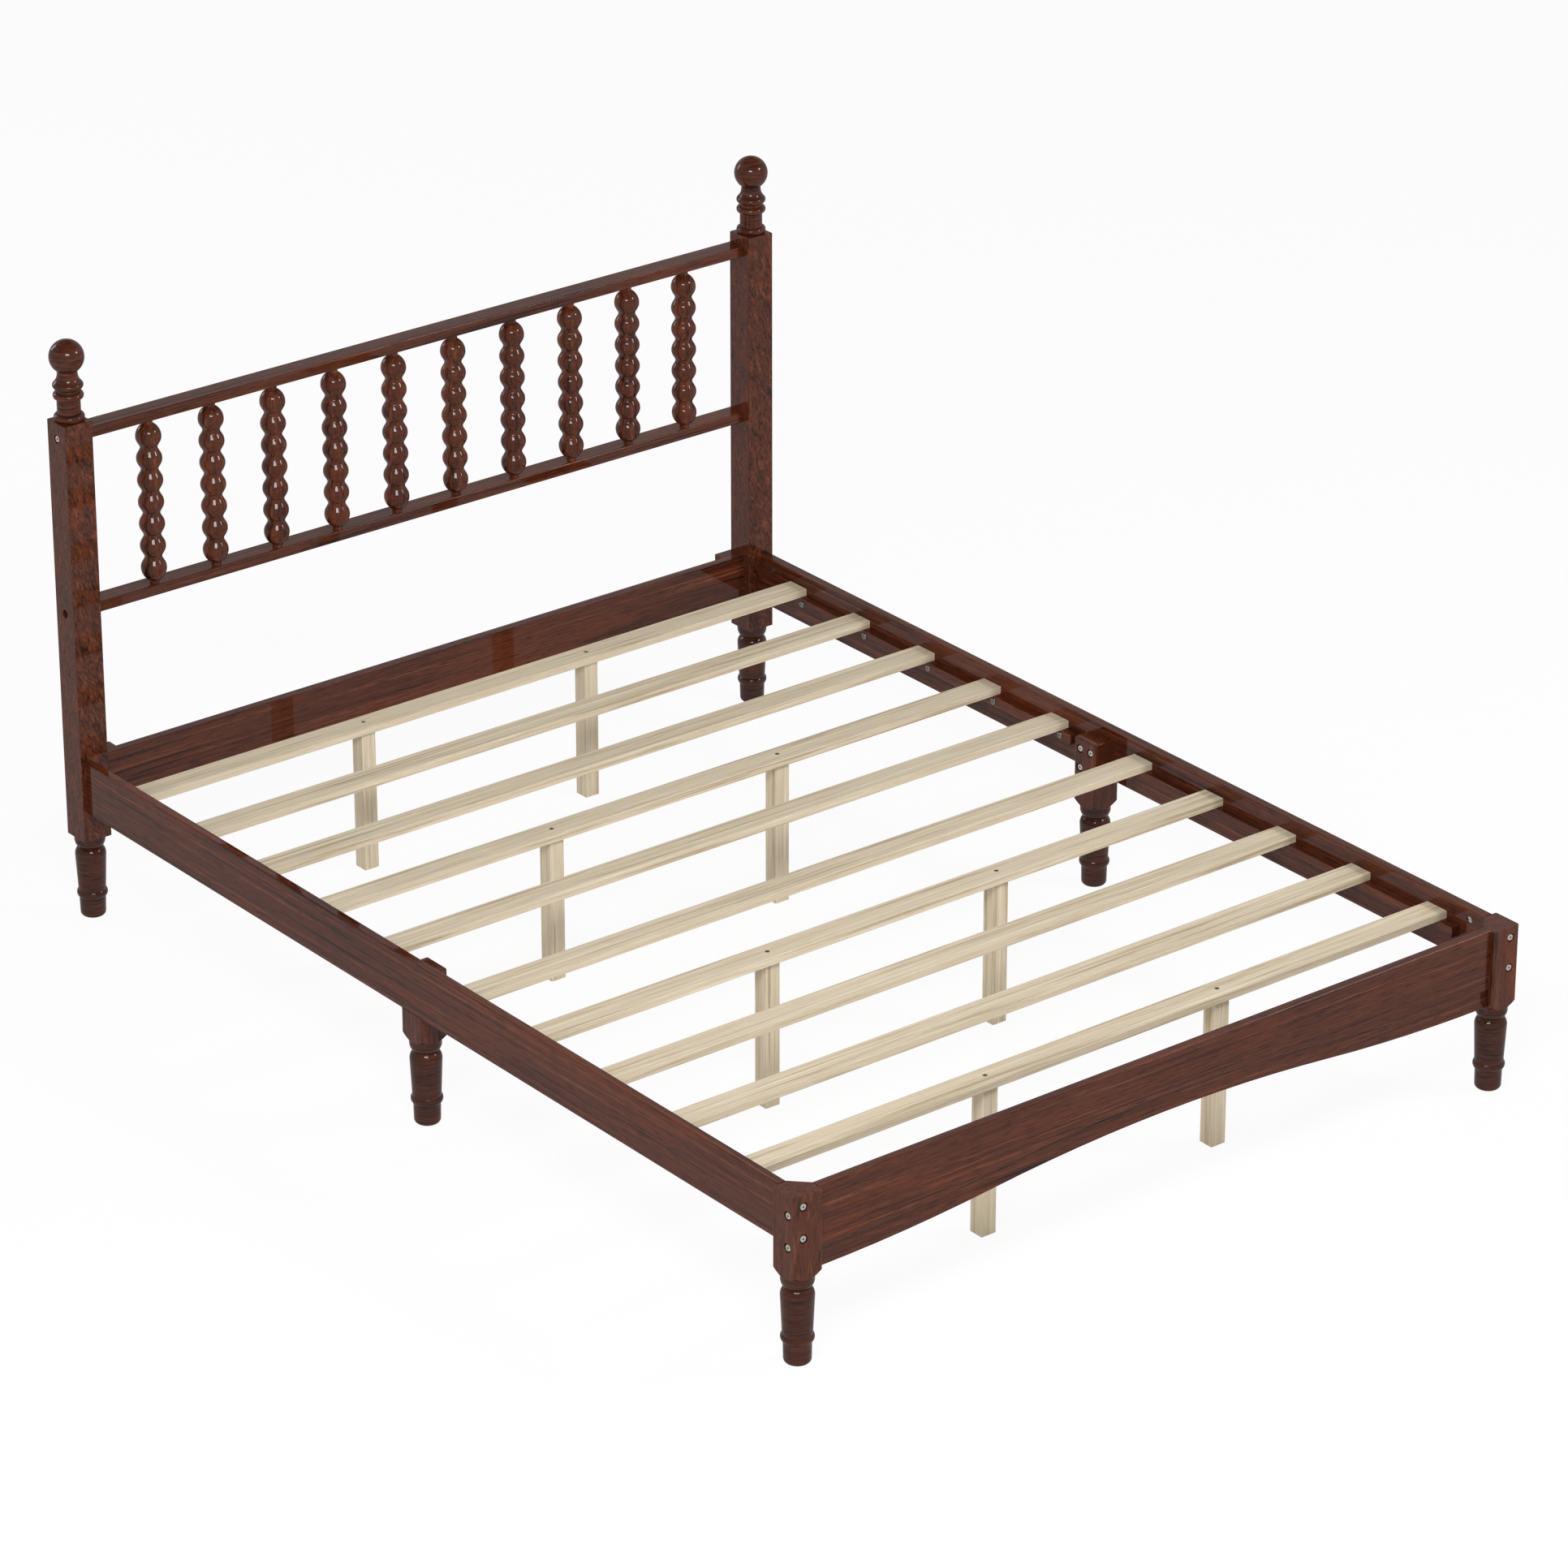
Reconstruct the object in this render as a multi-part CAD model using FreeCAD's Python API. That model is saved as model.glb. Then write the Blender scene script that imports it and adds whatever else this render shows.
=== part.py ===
import FreeCAD, Part
import math
import os

from FreeCAD import Vector

# A spindle bed in stained hardwood, with pine slats. Millimetres, +Z up, +Y towards the headboard.
# The origin is on the floor, below the middle of the bed.

# ---- Mattress and the frame around it ----
mattress_width = 1524.0
mattress_length = 2032.0
mattress_side_room = 10.0     # from the mattress to each side rail

# ---- Boards and square timbers ----
post_size = 58.0              # head posts, foot legs and mid legs
board_thickness = 18.0        # side rails, foot rail, head panel and ledgers
rail_inset = 10.0             # from the outer faces of posts and legs back to the rails' faces
post_edge = 1.0               # rounding of the head posts' edges
leg_edge = 3.5                # rounding of the leg blocks' upright edges
rail_edge = 2.0               # rounding of the rails' long edges
small_edge = 1.2              # rounding of panels, cleats, slats and ledgers

# ---- Heights from the floor ----
turned_leg_height = 163.0
rail_underside = 219.5
side_rail_height = 101.5
foot_leg_drop = 1.0           # foot legs' and head panel's tops, below the side rails' tops
head_post_height = 981.5

# ---- Headboard ----
headboard_depth = 40.5        # rails, and the panel with its cleats
headboard_rail_height = 20.5
top_rail_drop = 20.5          # from the posts' tops down to the top rail
spindle_height = 319.5        # clear height between the two rails
cleat_width = 40.0

# ---- Spindles ----
spindle_count = 10
bobbin_count = 7
bobbin_crest_radius = 23.9
bobbin_valley_radius = 16.3
bobbin_valley_arc = 9.5       # radius of the rounding in each valley
bobbin_flank_length = 7.0     # straight flank between a crest's rounding and a valley's
bobbin_end_length = 25.0      # from the last crest to the neck
spindle_neck_radius = 9.0
spindle_neck_length = 6.7
spindle_tenon_radius = 6.0
spindle_tenon_length = 12.0

# ---- Finials, heights above the post ----
finial_bead_radius = 28.0
finial_bead_arc = 7.0
finial_column_radius = 21.5
finial_column_height = 27.0
finial_valley_width = 5.4     # between the upper two beads
finial_cove_start = 45.0      # degrees above the upper bead's crest
finial_cove_length = 17.4
finial_neck_radius = 18.6
finial_neck_height = 4.5
finial_ball_radius = 32.2
finial_pin_radius = 8.0
finial_pin_length = 20.0

# ---- Turned legs, heights from the floor ----
turning_relief = 0.3          # the largest turned radius stays this far inside the square block
leg_foot_rounding = 8.0
leg_foot_radius = 23.6
leg_bead_underside = 39.5
leg_bead_height = 15.5
leg_bead_relief = 0.2         # the bead is turned this much smaller than the ring
leg_bead_step = 0.6           # the foot's radius just below the bead, over its radius at the floor
shaft_bottom_radius = 25.6
shaft_top_height = 125.5
leg_neck_height = 140.5
leg_neck_radius = 22.0
leg_ring_height = 156.5
head_leg_pin_radius = 12.0
head_leg_pin_length = 40.0

# ---- Middle legs ----
mid_leg_top_drop = 21.5       # tongue's top below the side rails' tops
mid_leg_tongue_edge = 3.0

# ---- Foot rail ----
foot_rail_depth = 151.0       # at its ends
arch_rise = 39.2
moulding_height = 33.5        # from the lower edge to the groove
moulding_step = 5.5           # how far the band below the groove lies back
moulding_rounding = 5.2

# ---- Slats, ledgers and support legs ----
slats_per_half = 5
slat_width = 50.0
slat_thickness = 15.0
slat_end_room = 0.5           # from a slat's end to the side rail
slat_margin = 117.4           # to the nearest slat's centre, from the middle and from the mattress's end
slat_top_drop = 25.0          # slats' tops below the side rails' tops
ledger_height = 20.0
ledger_middle_room = 66.0     # ledger's end from the middle of the bed
ledger_end_room = 60.0        # ledger's end from the post or foot leg
support_size = 31.0
support_slats = (1, 4)        # in each half, counted from the middle of the bed

# ---- Connector bolts and barrel nuts ----
bolt_radius = 3.0
bolt_room = 0.2               # around a bolt in its bore
bolt_head_radius = 6.5
bolt_head_height = 4.0
bolt_head_edge = 1.0
counterbore_radius = 8.3
counterbore_depth = 5.5
deep_counterbore_depth = 15.5  # at the headboard's lower rail, where the heads sit far down their holes
socket_radius = 2.4           # to the corners of the hexagon socket
socket_depth = 2.5
bolt_past_nut = 4.0
nut_radius = 6.5
nut_length = 14.0
nut_room = 0.1
nut_setback = 37.0            # nut's centre from the rail's end
nut_slot_width = 1.6
nut_slot_depth = 1.5
bolt_spacing = 58.5           # upper and lower bolts at each joint
foot_rail_bolt_drop = 39.5    # foot rail's upper bolts below the rail's top
mid_bolt_spacing_y = 28.8
mid_bolt_spacing_z = 38.0
mid_bolt_reach = 13.0         # into the side rail

# ---- Screws ----
screw_radius = 2.0
ledger_screw_head_radius = 6.8
ledger_screw_head_height = 2.4
ledger_screw_flat_radius = 3.4
ledger_screw_reach = 12.0     # into the side rail
ledger_screws_per_half = 5
ledger_screw_first = 30.0     # from the ledger's end at the middle of the bed
ledger_screw_last = 90.0      # from the ledger's other end
countersunk_radius = 4.4
countersunk_depth = 2.6
recess_width = 1.2            # cross recess in the screws' heads
recess_length = 4.8
recess_depth = 1.2
support_screw_reach = 30.0    # into the support leg
cleat_screw_reach = 20.0      # into the head post
cleat_screw_spacing = 50.0

# ---- Places that follow from the sizes above ----
rail_inner = mattress_width / 2 + mattress_side_room
rail_outer = rail_inner + board_thickness
rail_middle = rail_inner + board_thickness / 2
post_outer = rail_outer + rail_inset
post_inner = post_outer - post_size
post_middle = post_outer - post_size / 2
half_length = mattress_length / 2
end_outer = half_length + post_size
end_middle = half_length + post_size / 2
rail_top = rail_underside + side_rail_height
leg_top = rail_top - foot_leg_drop
top_rail_top = head_post_height - top_rail_drop
top_rail_underside = top_rail_top - headboard_rail_height
bottom_rail_top = top_rail_underside - spindle_height
bottom_rail_underside = bottom_rail_top - headboard_rail_height
headboard_front = end_outer - headboard_depth
panel_back = headboard_front + board_thickness
cleat_middle = (panel_back + end_outer) / 2
cleat_inner = post_inner - cleat_width
foot_rail_front = -end_outer + rail_inset
foot_rail_back = foot_rail_front + board_thickness
foot_rail_middle = foot_rail_front + board_thickness / 2
slat_top = rail_top - slat_top_drop
slat_underside = slat_top - slat_thickness
slat_half_length = rail_inner - slat_end_room
ledger_inner = rail_inner - board_thickness
ledger_middle_height = slat_underside - ledger_height / 2
ledger_length = half_length - ledger_middle_room - ledger_end_room
ledger_screw_start = ledger_middle_room + ledger_screw_first
ledger_screw_pitch = (ledger_length - ledger_screw_first - ledger_screw_last) / (ledger_screws_per_half - 1)
slat_pitch = (half_length - 2 * slat_margin) / (slats_per_half - 1)
mid_leg_inner = rail_outer - post_size
tongue_top = rail_top - mid_leg_top_drop
tongue_middle = (rail_underside + tongue_top) / 2
support_x = rail_inner / 3
rail_bolt_heights = [rail_underside + side_rail_height / 2 + k * bolt_spacing / 2 for k in (-1, 1)]
foot_rail_bolt_heights = [rail_top - foot_rail_bolt_drop - k * bolt_spacing for k in (0, 1)]
top_bolt_height = top_rail_underside + headboard_rail_height / 2
bottom_bolt_height = bottom_rail_underside + headboard_rail_height / 2
headboard_bolt_seats = ((top_bolt_height, counterbore_depth), (bottom_bolt_height, deep_counterbore_depth))
bolt_reach = post_size + nut_setback + nut_radius + bolt_past_nut   # from the block's face
SIDES = (("left", -1), ("right", 1))
ENDS = (("head", 1), ("foot", -1))
UP = Vector(0, 0, 1)
ALONG_X = Vector(1, 0, 0)
ALONG_Y = Vector(0, 1, 0)
overcut = 1.0                 # how far a cutting tool runs past the face that it opens
near = 1e-3                   # places that are no further apart than this coincide


# ---- Shapes ----

def box(corner, opposite):
    """A box between two opposite corners, given in any order."""
    low = Vector(*[min(a, b) for a, b in zip(corner, opposite)])
    high = Vector(*[max(a, b) for a, b in zip(corner, opposite)])
    size = high - low
    return Part.makeBox(size.x, size.y, size.z, low)


def straight_edges(shape, direction):
    """The shape's straight edges that run along a direction."""
    found = []
    for edge in shape.Edges:
        if isinstance(edge.Curve, Part.Line) and abs(edge.Curve.Direction.dot(direction)) > 0.999:
            found.append(edge)
    return found


def timber(corner, opposite, rounding, along):
    """A box whose long edges, those along a direction, are rounded."""
    bar = box(corner, opposite)
    return bar.makeFillet(rounding, straight_edges(bar, along))


def cylinder(radius, start, direction, length):
    return Part.makeCylinder(radius, length, start, direction)


def cut(shape, tools):
    return shape.cut(Part.makeCompound(tools))


def solid_of(shape):
    """The one solid of a cut or joined shape, with its split faces healed."""
    return shape.removeSplitter().Solids[0]


def arc(start, through, end):
    """A profile arc through three (radius, height) points."""
    return (start, through, end)


def bead(height, crest, rounding):
    """A half-round bead in a profile: its crest's height and radius, and its own rounding."""
    inner = crest - rounding
    return arc((inner, height - rounding), (crest, height), (inner, height + rounding))


def on_circle(centre, radius, degrees):
    angle = math.radians(degrees)
    return (centre[0] + radius * math.cos(angle), centre[1] + radius * math.sin(angle))


def circle_arc(centre, radius, start, end):
    """A profile arc on a circle, between two angles in degrees."""
    return arc(*[on_circle(centre, radius, angle) for angle in (start, (start + end) / 2, end)])


def level_arc(crest, end):
    """An arc that leaves its crest upright and bends in to its end."""
    inward = crest[0] - end[0]
    run = end[1] - crest[1]
    radius = (inward ** 2 + run ** 2) / (2 * inward)
    turn = math.degrees(math.asin(run / radius))
    return circle_arc((crest[0] - radius, crest[1]), radius, 0, turn)


def turned(profile):
    """A solid turned about the Z axis from (radius, height) points and arcs, listed upwards."""
    edges = []
    last = (0.0, profile[0][1] if len(profile[0]) == 2 else profile[0][0][1])
    for item in profile:
        points = [item] if len(item) == 2 else list(item)
        gap = math.dist(last, points[0])
        if gap > near:
            edges.append(Part.LineSegment(flat(last), flat(points[0])).toShape())
        if len(points) == 3:
            edges.append(Part.Arc(*[flat(p) for p in points]).toShape())
        last = points[-1]
    first = edges[0].firstVertex().Point
    if last[0] > near:
        edges.append(Part.LineSegment(flat(last), flat((0.0, last[1]))).toShape())
    edges.append(Part.LineSegment(flat((0.0, last[1])), first).toShape())
    face = Part.Face(Part.Wire(Part.__sortEdges__(edges)))
    return face.revolve(Vector(0, 0, 0), UP, 360).Solids[0]


def flat(point):
    """A (radius, height) point on the plane that profiles are drawn on."""
    return Vector(point[0], 0, point[1])


def placed(shape, point, direction=UP):
    """A shape built on the Z axis, turned to a direction and moved to a point."""
    moved = shape.copy()
    moved.Placement = FreeCAD.Placement(Vector(point), FreeCAD.Rotation(UP, Vector(direction)))
    return moved


# ---- Fasteners, built with the seat of the head at the origin and the shank downwards ----

def socket_bolt(length):
    """A bolt with a low round head and a hexagon socket."""
    shank = cylinder(bolt_radius, Vector(0, 0, 0), -UP, length)
    top = bolt_head_height
    head = turned([(bolt_head_radius, 0), (bolt_head_radius, top - bolt_head_edge),
                   (bolt_head_radius - bolt_head_edge, top)])
    corners = [flat_on((socket_radius * math.cos(k * math.pi / 3), socket_radius * math.sin(k * math.pi / 3)),
                       top - socket_depth) for k in range(7)]
    socket = Part.Face(Part.makePolygon(corners)).extrude(Vector(0, 0, socket_depth + overcut))
    return solid_of(head.fuse(shank).cut(socket))


def flat_on(point, height):
    return Vector(point[0], point[1], height)


def cross_recess(top):
    """The tool that cuts the cross recess into a screw's head."""
    reach = recess_length / 2
    half = recess_width / 2
    one = box((-reach, -half, top - recess_depth), (reach, half, top + overcut))
    other = box((-half, -reach, top - recess_depth), (half, reach, top + overcut))
    return one.fuse(other)


def pan_screw(length):
    """A wood screw with a low domed head."""
    rim = (ledger_screw_head_radius, 0)
    head = turned([level_arc(rim, (ledger_screw_flat_radius, ledger_screw_head_height))])
    shank = cylinder(screw_radius, Vector(0, 0, 0), -UP, length)
    return solid_of(head.fuse(shank).cut(cross_recess(ledger_screw_head_height)))


def countersunk_screw(length):
    """A wood screw whose conical head ends flush with the wood."""
    cone_foot = Vector(0, 0, -countersunk_depth)
    cone = Part.makeCone(screw_radius, countersunk_radius, countersunk_depth, cone_foot)
    shank = cylinder(screw_radius, cone_foot, -UP, length - countersunk_depth)
    return solid_of(cone.fuse(shank).cut(cross_recess(0.0)))


def countersunk_bore(length):
    """The hole for a countersunk screw, open at the origin."""
    cone_foot = Vector(0, 0, -countersunk_depth)
    cone = Part.makeCone(screw_radius, countersunk_radius, countersunk_depth, cone_foot)
    shank = cylinder(screw_radius, Vector(0, 0, 0), -UP, length)
    return cone.fuse(shank)


def bolt_bore(length, shank_radius, depth):
    """The hole for a socket bolt: shank and counterbore, with its seat at the origin."""
    shank = cylinder(shank_radius, Vector(0, 0, 0), -UP, length)
    mouth = cylinder(counterbore_radius, Vector(0, 0, 0), UP, depth + overcut)
    return shank.fuse(mouth)


def barrel_nut():
    """A barrel nut centred on the origin along Z, tapped along X, with a slot in its upper end."""
    half = nut_length / 2
    body = cylinder(nut_radius, Vector(0, 0, -half), UP, nut_length)
    tapping = cylinder(bolt_radius, Vector(-nut_radius - overcut, 0, 0), ALONG_X, 2 * (nut_radius + overcut))
    slot = box((-nut_radius - overcut, -nut_slot_width / 2, half - nut_slot_depth),
               (nut_radius + overcut, nut_slot_width / 2, half + overcut))
    return solid_of(body.cut(tapping).cut(slot))


class Joint:
    """One connector bolt through a block into a rail, with the barrel nut that it pulls on."""

    def __init__(self, face_point, outward, nut_opening, depth=counterbore_depth):
        """Bolt's point on the block's face, the way its head faces, and the nut hole's open way."""
        self.depth = depth
        self.outward = Vector(outward)
        self.nut_opening = Vector(nut_opening)
        self.seat = Vector(face_point) - self.outward * depth
        self.nut_centre = Vector(face_point) - self.outward * (post_size + nut_setback)

    def bolt(self):
        return placed(socket_bolt(bolt_reach - self.depth), self.seat, self.outward)

    def nut(self):
        side = self.nut_opening.cross(self.outward)
        turn = FreeCAD.Rotation(self.outward, side, self.nut_opening, "ZXY")
        nut = barrel_nut()
        nut.Placement = FreeCAD.Placement(self.nut_centre, turn)
        return nut

    def block_hole(self):
        bore = bolt_bore(post_size, bolt_radius + bolt_room, self.depth)
        return placed(bore, self.seat, self.outward)

    def rail_holes(self, open_length):
        """Bolt's and nut's holes in the rail; the nut's runs open_length from its centre to the face."""
        way = self.nut_opening
        nut_floor = self.nut_centre - way * (nut_length / 2)
        nut_hole = cylinder(nut_radius + nut_room, nut_floor, way, nut_length / 2 + open_length + overcut)
        shank_length = bolt_reach - self.depth + overcut
        shank = cylinder(bolt_radius + bolt_room, self.seat, -self.outward, shank_length)
        return [nut_hole, shank]


def headboard_joint(side, height, depth):
    return Joint((side * post_outer, end_middle, height), (side, 0, 0), (0, 0, -1), depth)


def side_rail_joint(side, end, height):
    return Joint((side * rail_middle, end * end_outer, height), (0, end, 0), (-side, 0, 0))


def foot_rail_joint(side, height):
    return Joint((side * post_outer, foot_rail_middle, height), (side, 0, 0), (0, 1, 0))


# ---- Turned pieces ----

def leg_profile():
    """The turned leg, from its rounded foot up to the ring under the block."""
    ring_radius = post_size / 2 - turning_relief
    bead_crest = ring_radius - leg_bead_relief
    shoulder = (ring_radius, shaft_top_height)
    neck = (leg_neck_radius, leg_neck_height)
    foot_centre = (leg_foot_radius - leg_foot_rounding, leg_foot_rounding)
    bead_top = leg_bead_underside + leg_bead_height
    return [
        circle_arc(foot_centre, leg_foot_rounding, -90, 0),
        arc((leg_foot_radius + leg_bead_step, leg_bead_underside),
            (bead_crest, leg_bead_underside + leg_bead_height / 2), (shaft_bottom_radius, bead_top)),
        level_arc(shoulder, neck),
        level_arc((ring_radius, leg_ring_height), neck)[::-1],
        (ring_radius, turned_leg_height),
    ]


def head_leg(side):
    profile = leg_profile()
    profile.append((head_leg_pin_radius, turned_leg_height))
    profile.append((head_leg_pin_radius, turned_leg_height + head_leg_pin_length))
    return placed(turned(profile), (side * post_middle, end_middle, 0))


def turned_block(low, high):
    """A square block with a turned leg below it, cut from one timber; low and high are its plan corners."""
    prism = timber((low[0], low[1], 0), (high[0], high[1], rail_top), leg_edge, UP)
    centre = ((low[0] + high[0]) / 2, (low[1] + high[1]) / 2, 0)
    reach = post_size
    ring_radius = post_size / 2 - turning_relief
    profile = leg_profile()
    profile.append((ring_radius + reach, turned_leg_height + reach))
    profile.append((ring_radius + reach, rail_top + overcut))
    return prism.common(placed(turned(profile), centre))


def finial(side):
    bead_width = 2 * finial_bead_arc
    base_bead = finial_bead_arc
    lower_bead = bead_width + finial_column_height + finial_bead_arc
    upper_bead = lower_bead + bead_width + finial_valley_width
    upper_centre = (finial_bead_radius - finial_bead_arc, upper_bead)
    cove_start = on_circle(upper_centre, finial_bead_arc, finial_cove_start)
    cove_depth = cove_start[0] - finial_neck_radius
    cove_radius = (cove_depth ** 2 + finial_cove_length ** 2) / (2 * cove_depth)
    cove_top = cove_start[1] + finial_cove_length
    cove_centre = (finial_neck_radius + cove_radius, cove_top)
    cove_turn = math.degrees(math.asin(finial_cove_length / cove_radius))
    ball_underside = cove_top + finial_neck_height
    ball_middle = ball_underside + math.sqrt(finial_ball_radius ** 2 - finial_neck_radius ** 2)
    ball_start = math.degrees(math.atan2(ball_underside - ball_middle, finial_neck_radius))
    ball_centre = (0.0, ball_middle)
    profile = [
        (finial_pin_radius, -finial_pin_length),
        (finial_pin_radius, 0.0),
        bead(base_bead, finial_bead_radius, finial_bead_arc),
        (finial_column_radius, bead_width),
        (finial_column_radius, lower_bead - finial_bead_arc),
        bead(lower_bead, finial_bead_radius, finial_bead_arc),
        circle_arc(upper_centre, finial_bead_arc, -90, finial_cove_start),
        circle_arc(cove_centre, cove_radius, 180 + cove_turn, 180),
        circle_arc(ball_centre, finial_ball_radius, ball_start, 90),
    ]
    return placed(turned(profile), (side * post_middle, end_middle, head_post_height))


def bobbin_crest_arc():
    """Radius of the rounding over each crest, from the pitch, the depth and the flanks' length."""
    half_pitch = bobbin_pitch() / 2
    depth = bobbin_crest_radius - bobbin_valley_radius
    both_arcs = (half_pitch ** 2 + depth ** 2 - bobbin_flank_length ** 2) / (2 * depth)
    return both_arcs - bobbin_valley_arc


def bobbin_turn():
    """How far each crest's arc turns, in degrees, before its straight flank into the valley."""
    both_arcs = bobbin_crest_arc() + bobbin_valley_arc
    inward = both_arcs - (bobbin_crest_radius - bobbin_valley_radius)
    from_crest_to_valley = math.atan2(bobbin_pitch() / 2, inward)
    off_square = math.atan2(bobbin_flank_length, both_arcs)
    return math.degrees(from_crest_to_valley - off_square)


def bobbin_crest(height, crest_at_end=None):
    """The rounding over one crest; the lowest and highest crests run out to the necks."""
    arc = bobbin_crest_arc()
    centre = (bobbin_crest_radius - arc, height)
    turn = bobbin_turn()
    neck_inward = bobbin_crest_radius - spindle_neck_radius
    end_radius = (neck_inward ** 2 + bobbin_end_length ** 2) / (2 * neck_inward)
    end_turn = math.degrees(math.asin(bobbin_end_length / end_radius))
    end_centre = (bobbin_crest_radius - end_radius, height)
    below = circle_arc(centre, arc, -turn, 0)
    above = circle_arc(centre, arc, 0, turn)
    if crest_at_end == "low":
        return [circle_arc(end_centre, end_radius, -end_turn, 0), above]
    if crest_at_end == "high":
        return [below, circle_arc(end_centre, end_radius, 0, end_turn)]
    return [circle_arc(centre, arc, -turn, turn)]


def bobbin_valley(height):
    """The rounding in one valley, between two straight flanks."""
    centre = (bobbin_valley_radius + bobbin_valley_arc, height)
    turn = bobbin_turn()
    return circle_arc(centre, bobbin_valley_arc, 180 + turn, 180 - turn)


def bobbin_pitch():
    ends = 2 * (spindle_neck_length + bobbin_end_length)
    return (spindle_height - ends) / (bobbin_count - 1)


def spindle(index):
    """One bobbin spindle with a neck and a round tenon at each end."""
    first = spindle_neck_length + bobbin_end_length
    profile = [
        (spindle_tenon_radius, -spindle_tenon_length),
        (spindle_tenon_radius, 0.0),
        (spindle_neck_radius, 0.0),
    ]
    for k in range(bobbin_count):
        height = first + k * bobbin_pitch()
        if k > 0:
            profile.append(bobbin_valley(height - bobbin_pitch() / 2))
        profile.extend(bobbin_crest(height, {0: "low", bobbin_count - 1: "high"}.get(k)))
    profile.append((spindle_neck_radius, spindle_height))
    profile.append((spindle_tenon_radius, spindle_height))
    profile.append((spindle_tenon_radius, spindle_height + spindle_tenon_length))
    return placed(turned(profile), (spindle_x(index), end_middle, bottom_rail_top))


def spindle_x(index):
    pitch = 2 * post_inner / (spindle_count + 1)
    return -post_inner + (index + 1) * pitch


# ---- Headboard ----

def head_post(side):
    post = box((side * post_inner, half_length, turned_leg_height),
               (side * post_outer, end_outer, head_post_height))
    post = post.makeFillet(post_edge, post.Edges)
    holes = [headboard_joint(side, *seat).block_hole() for seat in headboard_bolt_seats]
    holes += [side_rail_joint(side, 1, z).block_hole() for z in rail_bolt_heights]
    holes += [placed(countersunk_bore(cleat_width + cleat_screw_reach), point, (-side, 0, 0))
              for point in cleat_screw_points(side)]
    axis = Vector(side * post_middle, end_middle, 0)
    holes.append(cylinder(finial_pin_radius, axis + UP * head_post_height, -UP, finial_pin_length + overcut))
    holes.append(cylinder(head_leg_pin_radius, axis + UP * turned_leg_height, UP,
                          head_leg_pin_length + overcut))
    return solid_of(cut(post, holes))


def headboard_rail(underside, bolt_seat, spindle_face, inward):
    """A headboard rail; the spindles enter its face at spindle_face, inward being up or down."""
    rail = timber((-post_inner, headboard_front, underside),
                  (post_inner, end_outer, underside + headboard_rail_height), rail_edge, ALONG_X)
    holes = []
    for index in range(spindle_count):
        mouth = Vector(spindle_x(index), end_middle, spindle_face)
        holes.append(cylinder(spindle_tenon_radius, mouth, inward, spindle_tenon_length + overcut))
    for _, side in SIDES:
        holes += headboard_joint(side, *bolt_seat).rail_holes(headboard_rail_height / 2)
    return solid_of(cut(rail, holes))


def cleat_screw_points(side):
    """Where the cleat's screws enter it, on its inner face."""
    middle = (rail_underside + leg_top) / 2
    return [Vector(side * cleat_inner, cleat_middle, middle + k * cleat_screw_spacing / 2) for k in (-1, 1)]


def head_panel():
    return timber((-post_inner, headboard_front, rail_underside), (post_inner, panel_back, leg_top),
                  small_edge, ALONG_X)


def head_panel_cleat(side):
    cleat = timber((side * cleat_inner, panel_back, rail_underside), (side * post_inner, end_outer, leg_top),
                   small_edge, UP)
    holes = [placed(countersunk_bore(cleat_width + overcut), point, (-side, 0, 0))
             for point in cleat_screw_points(side)]
    return solid_of(cut(cleat, holes))


# ---- Side rails and ledgers ----

def mid_bolt_points(side, end):
    """Where the middle leg's bolts enter its tongue, for one half of the rail."""
    return [Vector(side * mid_leg_inner, end * mid_bolt_spacing_y / 2,
                   tongue_middle + k * mid_bolt_spacing_z / 2) for k in (-1, 1)]


def mid_bolt_length():
    return (rail_inner - mid_leg_inner) - counterbore_depth + mid_bolt_reach


def mid_bolt_seat(side, point):
    return point + ALONG_X * side * counterbore_depth


def ledger_screw_points(side, end):
    distances = [ledger_screw_start + k * ledger_screw_pitch for k in range(ledger_screws_per_half)]
    return [Vector(side * ledger_inner, end * distance, ledger_middle_height) for distance in distances]


def side_rail(side, end):
    rail = timber((side * rail_inner, 0, rail_underside), (side * rail_outer, end * half_length, rail_top),
                  rail_edge, ALONG_Y)
    holes = []
    for z in rail_bolt_heights:
        holes += side_rail_joint(side, end, z).rail_holes(board_thickness / 2)
    for point in mid_bolt_points(side, end):
        holes.append(cylinder(bolt_radius, mid_bolt_seat(side, point), ALONG_X * side, mid_bolt_length()))
    for point in ledger_screw_points(side, end):
        holes.append(cylinder(screw_radius, point, ALONG_X * side, board_thickness + ledger_screw_reach))
    return solid_of(cut(rail, holes))


def ledger(side, end):
    low = end * ledger_middle_room
    high = end * (ledger_middle_room + ledger_length)
    strip = timber((side * ledger_inner, low, slat_underside - ledger_height),
                   (side * rail_inner, high, slat_underside), small_edge, ALONG_Y)
    holes = [cylinder(screw_radius, point - ALONG_X * side * overcut, ALONG_X * side,
                      board_thickness + 2 * overcut) for point in ledger_screw_points(side, end)]
    return solid_of(cut(strip, holes))


# ---- Foot rail and legs ----

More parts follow.
